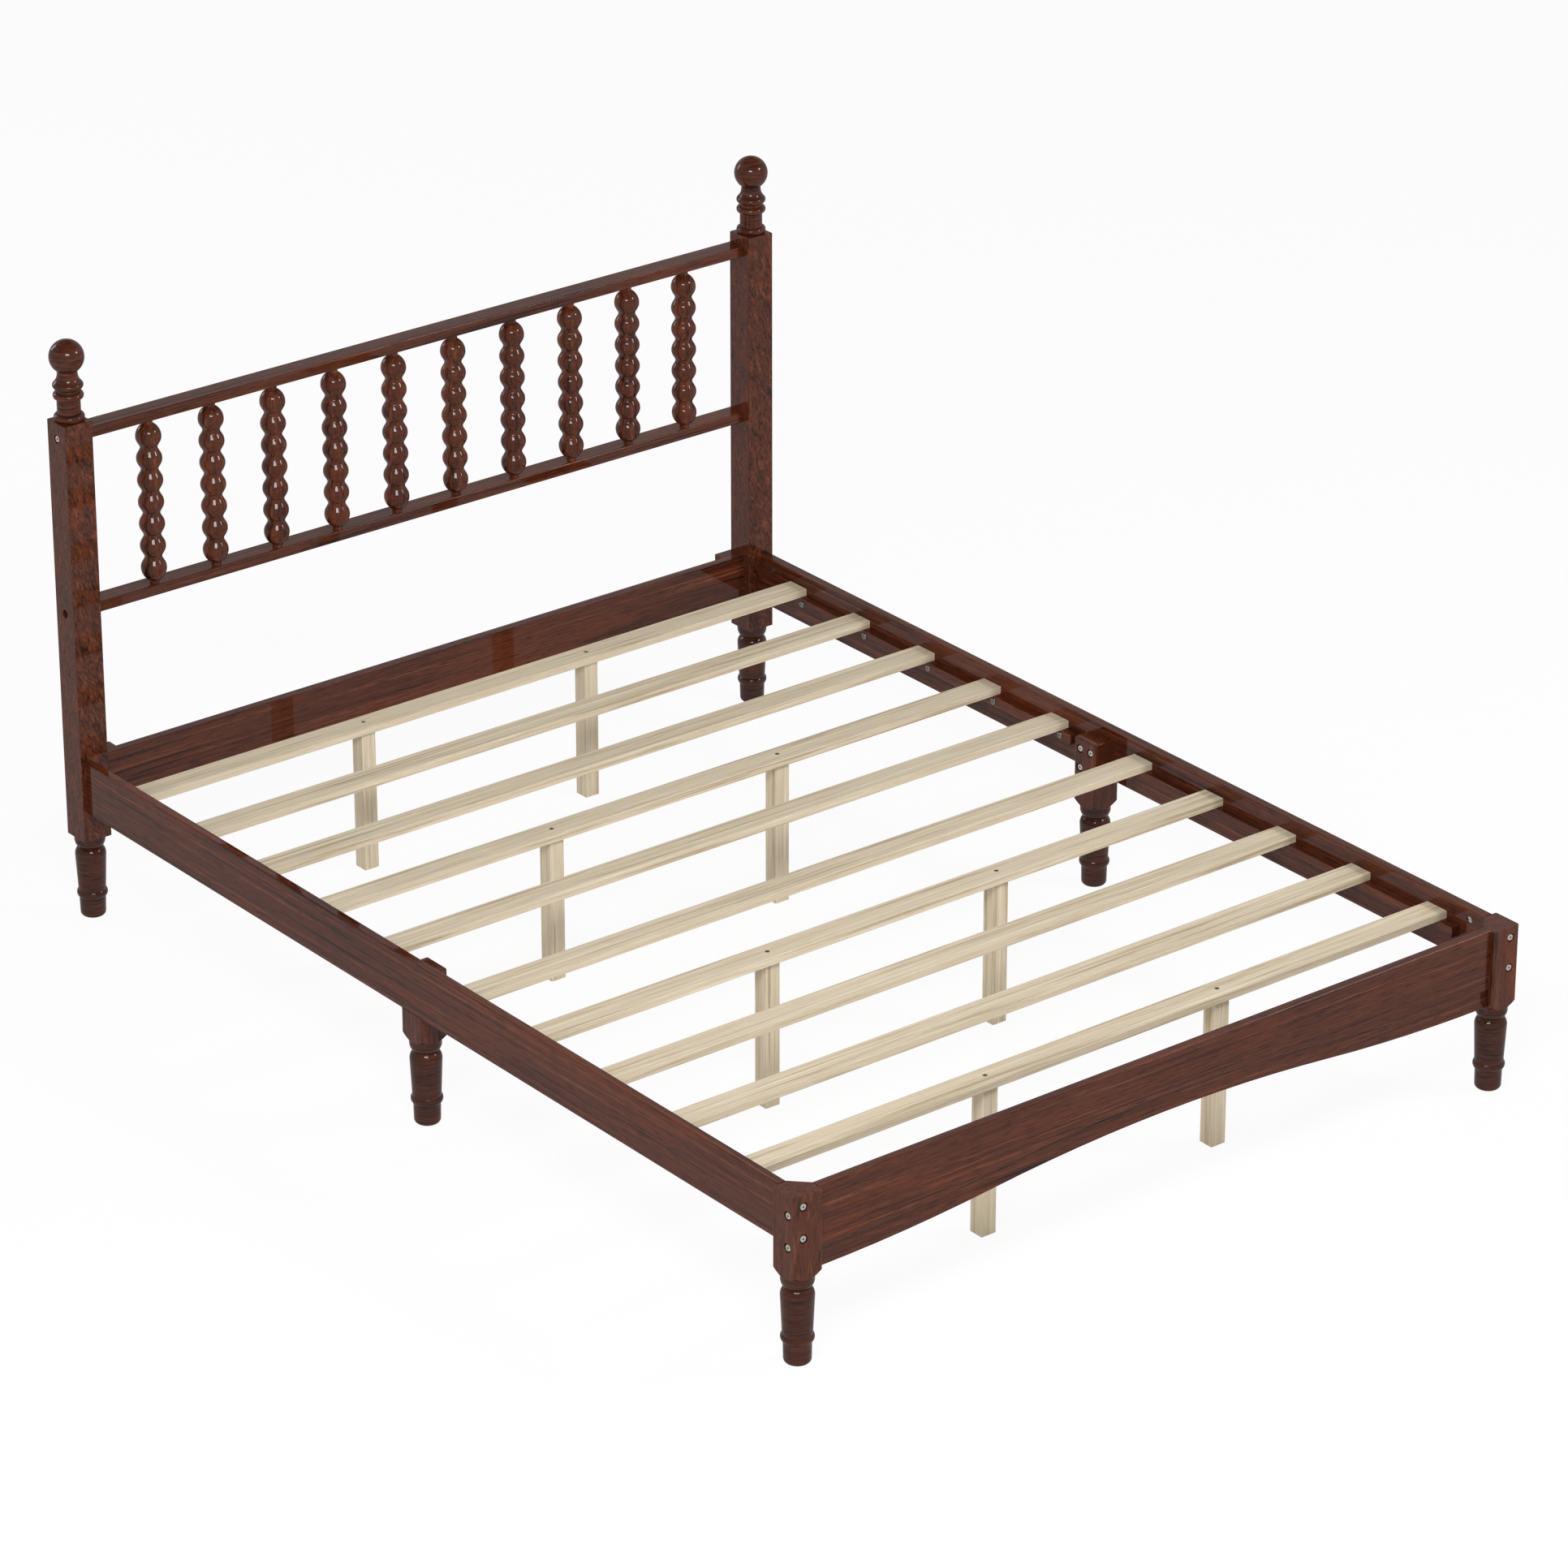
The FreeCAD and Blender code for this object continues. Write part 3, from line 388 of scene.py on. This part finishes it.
def turned_mesh(name, outline, axis_point, steps):
    """A mesh spun about an upright axis. The outline is points and arcs, from its bottom up.

    A point is (radius, height). An arc is (centre radius, centre height, radius, start, end)
    with its angles in degrees from level, and it is spun from its first point.
    """
    bm = bmesh.new()
    last = None
    for item in outline:
        if len(item) == 2:
            verts = [bm.verts.new((item[0], 0.0, item[1]))]
        else:
            centre_radius, centre_height, radius, start, end = item
            first = (centre_radius + radius * math.cos(math.radians(start)), 0.0,
                     centre_height + radius * math.sin(math.radians(start)))
            before = set(bm.verts)
            first_vert = bm.verts.new(first)
            bmesh.ops.spin(bm, geom=[first_vert], cent=(centre_radius, 0.0, centre_height),
                           axis=(0.0, -1.0, 0.0), dvec=(0.0, 0.0, 0.0), angle=math.radians(end - start),
                           space=Matrix.Identity(4), steps=arc_steps(end - start), use_merge=False,
                           use_normal_flip=False, use_duplicate=False)
            verts = [v for v in bm.verts if v not in before]
        if last is not None:
            bm.edges.new((last, verts[0]))
        last = verts[-1]
    bmesh.ops.remove_doubles(bm, verts=bm.verts, dist=TURNED_MERGE)
    bmesh.ops.spin(bm, geom=bm.verts[:] + bm.edges[:], cent=(0.0, 0.0, 0.0), axis=(0.0, 0.0, 1.0),
                   dvec=(0.0, 0.0, 0.0), angle=math.tau, space=Matrix.Identity(4), steps=steps,
                   use_merge=True, use_normal_flip=False, use_duplicate=False)
    bmesh.ops.remove_doubles(bm, verts=bm.verts, dist=TURNED_MERGE)
    bmesh.ops.recalc_face_normals(bm, faces=bm.faces)
    bmesh.ops.translate(bm, verts=bm.verts, vec=axis_point)
    mesh = bpy.data.meshes.new(name)
    bm.to_mesh(mesh)
    bm.free()
    return mesh


def node_axis(node):
    """The upright axis of a turned node, as the middle of its box at the height of its underside."""
    low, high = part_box(node)
    return Vector(((low.x + high.x) / 2, (low.y + high.y) / 2, low.z))


def arc_through(crest_radius, crest_height, end_radius, end_height):
    """An arc that leaves its crest upright and bends in to its end, up or down from the crest."""
    inward = crest_radius - end_radius
    run = end_height - crest_height
    radius = (inward ** 2 + run ** 2) / (2 * inward)
    turn = math.degrees(math.asin(run / radius))
    return (crest_radius - radius, crest_height, radius, 0.0, turn)


def backwards(arc):
    return arc[:3] + (arc[4], arc[3])


def bulge(low, high, crest_radius):
    """An arc from one point up to another, over a crest halfway between them."""
    (low_radius, low_height), (high_radius, high_height) = low, high
    middle = (low_height + high_height) / 2
    half = math.hypot(high_radius - low_radius, high_height - low_height) / 2
    rise = crest_radius - (low_radius + high_radius) / 2
    radius = (half ** 2 + rise ** 2) / (2 * rise)
    centre = (crest_radius - radius, middle)
    start = math.degrees(math.atan2(low_height - centre[1], low_radius - centre[0]))
    end = math.degrees(math.atan2(high_height - centre[1], high_radius - centre[0]))
    return (centre[0], centre[1], radius, start, end)


def leg_outline(sizes):
    """A turned leg: rounded foot, bead, tapered shaft, neck and ring."""
    ring = sizes.leg_ring_radius
    rounding = 8.0 * MM
    bead_step = 0.6 * MM
    bead_relief = 0.2 * MM
    bead_underside = 39.5 * MM
    bead_top = 55.0 * MM
    shoulder_height = 125.5 * MM
    neck_height = 140.5 * MM
    ring_height = 156.5 * MM
    bead_low = (sizes.leg_foot_radius + bead_step, bead_underside)
    bead_high = (sizes.leg_shaft_radius, bead_top)
    return [
        (0.0, 0.0),
        (sizes.leg_foot_radius - rounding, rounding, rounding, -90.0, 0.0),
        bulge(bead_low, bead_high, ring - bead_relief),
        arc_through(ring, shoulder_height, sizes.leg_neck_radius, neck_height),
        backwards(arc_through(ring, ring_height, sizes.leg_neck_radius, neck_height)),
        (ring, sizes.turned_leg_height),
        (0.0, sizes.turned_leg_height),
    ]


def finial_outline(sizes):
    """A finial: base bead, column, two beads, cove, neck and ball."""
    bead = 7.0 * MM
    column_length = 27.0 * MM
    valley_width = 5.4 * MM
    neck_length = 4.5 * MM
    bead_centre = sizes.finial_bead_radius - bead
    column_top = 2 * bead + column_length
    lower_bead = column_top + bead
    upper_bead = lower_bead + 2 * bead + valley_width
    cove_angle = 45.0
    cove_start = (bead_centre + bead * math.cos(math.radians(cove_angle)),
                  upper_bead + bead * math.sin(math.radians(cove_angle)))
    cove_length = 17.4 * MM
    cove_top = cove_start[1] + cove_length
    depth = cove_start[0] - sizes.finial_neck_radius
    cove_radius = (depth ** 2 + cove_length ** 2) / (2 * depth)
    cove_turn = math.degrees(math.asin(cove_length / cove_radius))
    ball = sizes.finial_ball_radius
    ball_underside = cove_top + neck_length
    ball_middle = ball_underside + math.sqrt(ball ** 2 - sizes.finial_neck_radius ** 2)
    ball_start = math.degrees(math.atan2(ball_underside - ball_middle, sizes.finial_neck_radius))
    return [
        (0.0, 0.0),
        (bead_centre, bead, bead, -90.0, 90.0),
        (sizes.finial_column_radius, 2 * bead),
        (sizes.finial_column_radius, column_top),
        (bead_centre, lower_bead, bead, -90.0, 90.0),
        (bead_centre, upper_bead, bead, -90.0, cove_angle),
        (sizes.finial_neck_radius + cove_radius, cove_top, cove_radius, 180.0 + cove_turn, 180.0),
        (0.0, ball_middle, ball, ball_start, 90.0),
    ]


def spindle_outline(sizes, height):
    """A spindle: a neck, bobbins with straight flanks and rounded valleys, and a neck."""
    neck_length = 6.7 * MM
    end_length = 25.0 * MM
    valley_arc = 9.5 * MM
    flank = 7.0 * MM
    first = neck_length + end_length
    pitch = (height - 2 * first) / (sizes.bobbin_count - 1)
    depth = sizes.bobbin_crest_radius - sizes.bobbin_valley_radius
    both_arcs = ((pitch / 2) ** 2 + depth ** 2 - flank ** 2) / (2 * depth)
    crest_arc = both_arcs - valley_arc
    centre = sizes.bobbin_crest_radius - crest_arc
    valley_centre = sizes.bobbin_valley_radius + valley_arc
    turn = math.degrees(math.atan2(pitch / 2, both_arcs - depth) - math.atan2(flank, both_arcs))
    outline = [(0.0, 0.0), (sizes.spindle_neck_radius, 0.0)]
    for index in range(sizes.bobbin_count):
        crest_height = first + index * pitch
        low = (centre, crest_height, crest_arc, -turn, 0.0)
        high = (centre, crest_height, crest_arc, 0.0, turn)
        if index == 0:
            low = backwards(arc_through(sizes.bobbin_crest_radius, crest_height,
                                        sizes.spindle_neck_radius, crest_height - end_length))
        else:
            valley_height = crest_height - pitch / 2
            outline.append((valley_centre, valley_height, valley_arc, 180.0 + turn, 180.0 - turn))
        if index == sizes.bobbin_count - 1:
            high = arc_through(sizes.bobbin_crest_radius, crest_height,
                               sizes.spindle_neck_radius, crest_height + end_length)
        outline += [low, high]
    return outline + [(sizes.spindle_neck_radius, height), (0.0, height)]


# ---- Operators ----

class BedOperator:
    """What the bed's operators share."""

    bl_options = {"REGISTER", "UNDO"}

    @property
    def sizes(self):
        return bpy.context.scene.bed_sizes


class AddHeadPosts(BedOperator, bpy.types.Operator):
    """Add the two square head posts"""

    bl_idname = "spindle_bed.add_head_posts"
    bl_label = "Head Posts"

    def execute(self, context):
        material = material_for("stained_post", stained_post)
        for side in SIDES:
            cleaned_copy("head_post_" + side, material)
        return {"FINISHED"}


class AddFinials(BedOperator, bpy.types.Operator):
    """Add the turned ball finials"""

    bl_idname = "spindle_bed.add_finials"
    bl_label = "Finials"

    def execute(self, context):
        material = material_for("stained_finial", stained_turning, FINIAL_DARKENING)
        for side in SIDES:
            node = "finial_" + side
            axis = node_axis(node)
            axis.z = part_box("head_post_" + side)[1].z
            mesh = turned_mesh("shown_" + node, finial_outline(self.sizes), axis,
                               self.sizes.turning_steps)
            add_piece("shown_" + node, mesh, material, [node])
        return {"FINISHED"}


class AddSpindles(BedOperator, bpy.types.Operator):
    """Add the bobbin spindles between the headboard's rails"""

    bl_idname = "spindle_bed.add_spindles"
    bl_label = "Spindles"

    def execute(self, context):
        material = material_for("stained_spindle", stained_spindle)
        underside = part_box("headboard_bottom_rail")[1].z
        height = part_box("headboard_top_rail")[0].z - underside
        outline = spindle_outline(self.sizes, height)
        for node in sorted(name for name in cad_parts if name.startswith("spindle_")):
            axis = node_axis(node)
            axis.z = underside
            mesh = turned_mesh("shown_" + node, outline, axis, self.sizes.turning_steps)
            add_piece("shown_" + node, mesh, material, [node])
        return {"FINISHED"}


class AddHeadboardRails(BedOperator, bpy.types.Operator):
    """Add the headboard's two rails"""

    bl_idname = "spindle_bed.add_headboard_rails"
    bl_label = "Headboard Rails"

    def execute(self, context):
        material = board_material("X")
        for node in ("headboard_top_rail", "headboard_bottom_rail"):
            cleaned_copy(node, material)
        return {"FINISHED"}


class AddHeadPanel(BedOperator, bpy.types.Operator):
    """Add the low head panel and the cleats behind its ends"""

    bl_idname = "spindle_bed.add_head_panel"
    bl_label = "Head Panel"

    def execute(self, context):
        cleaned_copy("head_panel", board_material("X"))
        for side in SIDES:
            cleaned_copy("head_panel_cleat_" + side, board_material("Z"))
        return {"FINISHED"}


class AddFootRail(BedOperator, bpy.types.Operator):
    """Add the arched foot rail with its moulding"""

    bl_idname = "spindle_bed.add_foot_rail"
    bl_label = "Foot Rail"

    def execute(self, context):
        material = board_material("X")
        cleaned_copy("foot_rail", material)
        return {"FINISHED"}


class AddSideRails(BedOperator, bpy.types.Operator):
    """Add the side rails' halves and the ledgers inside them"""

    bl_idname = "spindle_bed.add_side_rails"
    bl_label = "Side Rails"

    def execute(self, context):
        material = board_material("Y")
        for side in SIDES:
            for end in ENDS:
                for kind in ("side_rail", "ledger"):
                    cleaned_copy("_".join((kind, side, end)), material)
        return {"FINISHED"}


class AddLegs(BedOperator, bpy.types.Operator):
    """Add the turned legs: separate ones under the head posts, and those cut from square timbers"""

    bl_idname = "spindle_bed.add_legs"
    bl_label = "Legs"

    def execute(self, context):
        # The head legs' turnings are drawn darker as painted shade, for the dim light near the floor.
        turning = material_for("stained_turned_leg", stained_turning, LEG_PAINTED_SHADE)
        leg = material_for("stained_leg", stained_leg, self.sizes.turned_leg_height)
        for side in SIDES:
            node = "head_leg_" + side
            mesh = turned_mesh("shown_" + node, leg_outline(self.sizes), node_axis(node),
                               self.sizes.turning_steps)
            add_piece("shown_" + node, mesh, turning, [node])
            cleaned_copy("foot_leg_" + side, leg)
            cleaned_copy("mid_leg_" + side, leg)
        return {"FINISHED"}


class AddSlats(BedOperator, bpy.types.Operator):
    """Add the pine slats and the legs under them"""

    bl_idname = "spindle_bed.add_slats"
    bl_label = "Slats"

    def execute(self, context):
        kinds = (("slat_", "X"), ("support_leg_", "Z"))
        for prefix, along in kinds:
            material = material_for("planed_pine_along_" + along.lower(), planed_pine, along)
            for node in sorted(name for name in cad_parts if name.startswith(prefix)):
                if not node.endswith("screws"):
                    cleaned_copy(node, material)
        return {"FINISHED"}


class AddFasteners(BedOperator, bpy.types.Operator):
    """Add the bolts, barrel nuts and screws"""

    bl_idname = "spindle_bed.add_fasteners"
    bl_label = "Fasteners"

    def execute(self, context):
        bright = material_for("bright_zinc", plated_steel, "zinc")
        # The screws' darker zinc is painted shade of their recesses.
        shaded_screw_zinc = material_for("recess_shaded_zinc", plated_steel, "recess_shaded_zinc")
        for node in sorted(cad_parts):
            if node.endswith(("bolts", "nuts")):
                cleaned_copy(node, bright)
            elif node.endswith("screws"):
                cleaned_copy(node, shaded_screw_zinc)
        return {"FINISHED"}


class AddStudio(BedOperator, bpy.types.Operator):
    """Add the floor, the soft lamps, the world and the camera"""

    bl_idname = "spindle_bed.add_studio"
    bl_label = "Studio"

    def execute(self, context):
        colours = context.scene.bed_colours
        add_floor(colours)
        light_world(colours)
        # Each lamp: place, width, height, and brightness of its face.
        lamps = (
            ("front_lamp", (-2.5, -2.75, 3.51), 2.1, 0.85, 24.0),
            ("right_lamp", (3.17, -2.67, 3.38), 1.2, 0.8, 24.0),
            ("back_lamp", (-1.96, 5.82, 2.69), 1.3, 2.3, 6.0),
        )
        for name, place, width, height, brightness in lamps:
            add_lamp(name, Vector(place), width, height, brightness)
        add_camera(context.scene)
        return {"FINISHED"}


def add_floor(colours):
    """A plain pale floor that looks white to the camera and in reflections, and keeps a soft shadow."""
    half_width = 60.0
    white_share = 0.92      # the rest is paint, which shows the shadow
    bm = bmesh.new()
    bmesh.ops.create_grid(bm, x_segments=1, y_segments=1, size=half_width)
    mesh = bpy.data.meshes.new("studio_floor")
    bm.to_mesh(mesh)
    bm.free()
    material, tree = new_tree("matt_floor_paint")
    path = add_node(tree, "ShaderNodeLightPath")
    seen = add_node(tree, "ShaderNodeMath", {"operation": "ADD", "use_clamp": True},
                    {0: path.outputs["Is Camera Ray"], 1: path.outputs["Is Glossy Ray"]})
    seen = add_node(tree, "ShaderNodeMath", {"operation": "ADD", "use_clamp": True},
                    {0: seen.outputs[0], 1: path.outputs["Is Transmission Ray"]})
    share = add_node(tree, "ShaderNodeMath", {"operation": "MULTIPLY"},
                     {0: seen.outputs[0], 1: white_share})
    paint = add_node(tree, "ShaderNodeBsdfDiffuse", inputs={"Color": colours.floor})
    glow = add_node(tree, "ShaderNodeEmission", inputs={"Color": (1.0, 1.0, 1.0, 1.0), "Strength": 1.0})
    mix = add_node(tree, "ShaderNodeMixShader", inputs={
        0: share.outputs[0], 1: paint.outputs["BSDF"], 2: glow.outputs["Emission"]})
    mesh.materials.append(finish_shader(material, tree, mix.outputs["Shader"]))
    floor = bpy.data.objects.new("studio_floor", mesh)
    bpy.context.scene.collection.objects.link(floor)


def light_world(colours):
    """Pale studio walls all round, under a dim ceiling."""
    wall_strength = 0.85
    ceiling_strength = 0.2
    wall_top = 0.45         # sine of the elevation where the walls begin to fade
    ceiling_edge = 0.85     # and where the ceiling is at its dimmest
    world = bpy.data.worlds.new("studio_world")
    world.use_nodes = True
    tree = world.node_tree
    tree.nodes.clear()
    direction = add_node(tree, "ShaderNodeTexCoord")
    height = add_node(tree, "ShaderNodeSeparateXYZ", inputs={0: direction.outputs["Generated"]})
    strength = add_node(tree, "ShaderNodeMapRange", {"interpolation_type": "SMOOTHSTEP"}, {
        "Value": height.outputs["Z"], "From Min": wall_top, "From Max": ceiling_edge,
        "To Min": wall_strength, "To Max": ceiling_strength})
    light = add_node(tree, "ShaderNodeBackground",
                     inputs={"Color": colours.world, "Strength": strength.outputs["Result"]})
    add_node(tree, "ShaderNodeOutputWorld", inputs={"Surface": light.outputs["Background"]})
    bpy.context.scene.world = world


def add_lamp(name, place, width, height, brightness):
    """A rectangular soft lamp that faces the bed."""
    data = bpy.data.lights.new(name, "AREA")
    data.shape = "RECTANGLE"
    data.size = width
    data.size_y = height
    data.energy = brightness * math.pi * width * height
    lamp = bpy.data.objects.new(name, data)
    lamp.location = place
    bed_middle = (cad_low + cad_high) / 2
    lamp.rotation_mode = "QUATERNION"
    lamp.rotation_quaternion = (bed_middle - place).to_track_quat("-Z", "Y")
    bpy.context.scene.collection.objects.link(lamp)


def add_camera(scene):
    """The camera at the photograph's place, looking level across the picture's width."""
    azimuth = math.radians(-38.29)
    elevation = math.radians(25.14)
    back = Vector((math.sin(azimuth) * math.cos(elevation), -math.cos(azimuth) * math.cos(elevation),
                   math.sin(elevation)))
    data = bpy.data.cameras.new("photo_camera")
    data.sensor_width = 36.0
    data.lens = 153.36
    data.clip_end = 200.0
    camera = bpy.data.objects.new("photo_camera", data)
    camera.location = (-6.6196, -8.4182, 5.4504)
    camera.rotation_mode = "QUATERNION"
    camera.rotation_quaternion = (-back).to_track_quat("-Z", "Y")
    scene.collection.objects.link(camera)
    scene.camera = camera


# ---- Panel and registration ----

OPERATORS = (AddHeadPosts, AddFinials, AddSpindles, AddHeadboardRails, AddHeadPanel, AddFootRail,
             AddSideRails, AddLegs, AddSlats, AddFasteners, AddStudio)


class SpindleBedPanel(bpy.types.Panel):
    """The bed's operators and properties in the 3D view's sidebar"""

    bl_idname = "VIEW3D_PT_spindle_bed"
    bl_label = "Spindle Bed"
    bl_space_type = "VIEW_3D"
    bl_region_type = "UI"
    bl_category = "Spindle Bed"

    def draw(self, context):
        for operator in OPERATORS:
            self.layout.operator(operator.bl_idname)
        for group in (context.scene.bed_sizes, context.scene.bed_colours):
            box = self.layout.box()
            for name in type(group).__annotations__:
                box.prop(group, name)


CLASSES = (BedSizes, BedColours) + OPERATORS + (SpindleBedPanel,)


def register():
    for cls in CLASSES:
        bpy.utils.register_class(cls)
    bpy.types.Scene.bed_sizes = PointerProperty(type=BedSizes)
    bpy.types.Scene.bed_colours = PointerProperty(type=BedColours)


def unregister():
    del bpy.types.Scene.bed_colours
    del bpy.types.Scene.bed_sizes
    for cls in reversed(CLASSES):
        bpy.utils.unregister_class(cls)


def main():
    register()
    bed = bpy.ops.spindle_bed
    bed.add_head_posts()
    bed.add_finials()
    bed.add_spindles()
    bed.add_headboard_rails()
    bed.add_head_panel()
    bed.add_foot_rail()
    bed.add_side_rails()
    bed.add_legs()
    bed.add_slats()
    bed.add_fasteners()
    bed.add_studio()
    scene = bpy.context.scene
    scene.view_settings.view_transform = "Standard"
    bpy.context.view_layer.update()


if __name__ == "__main__":
    main()
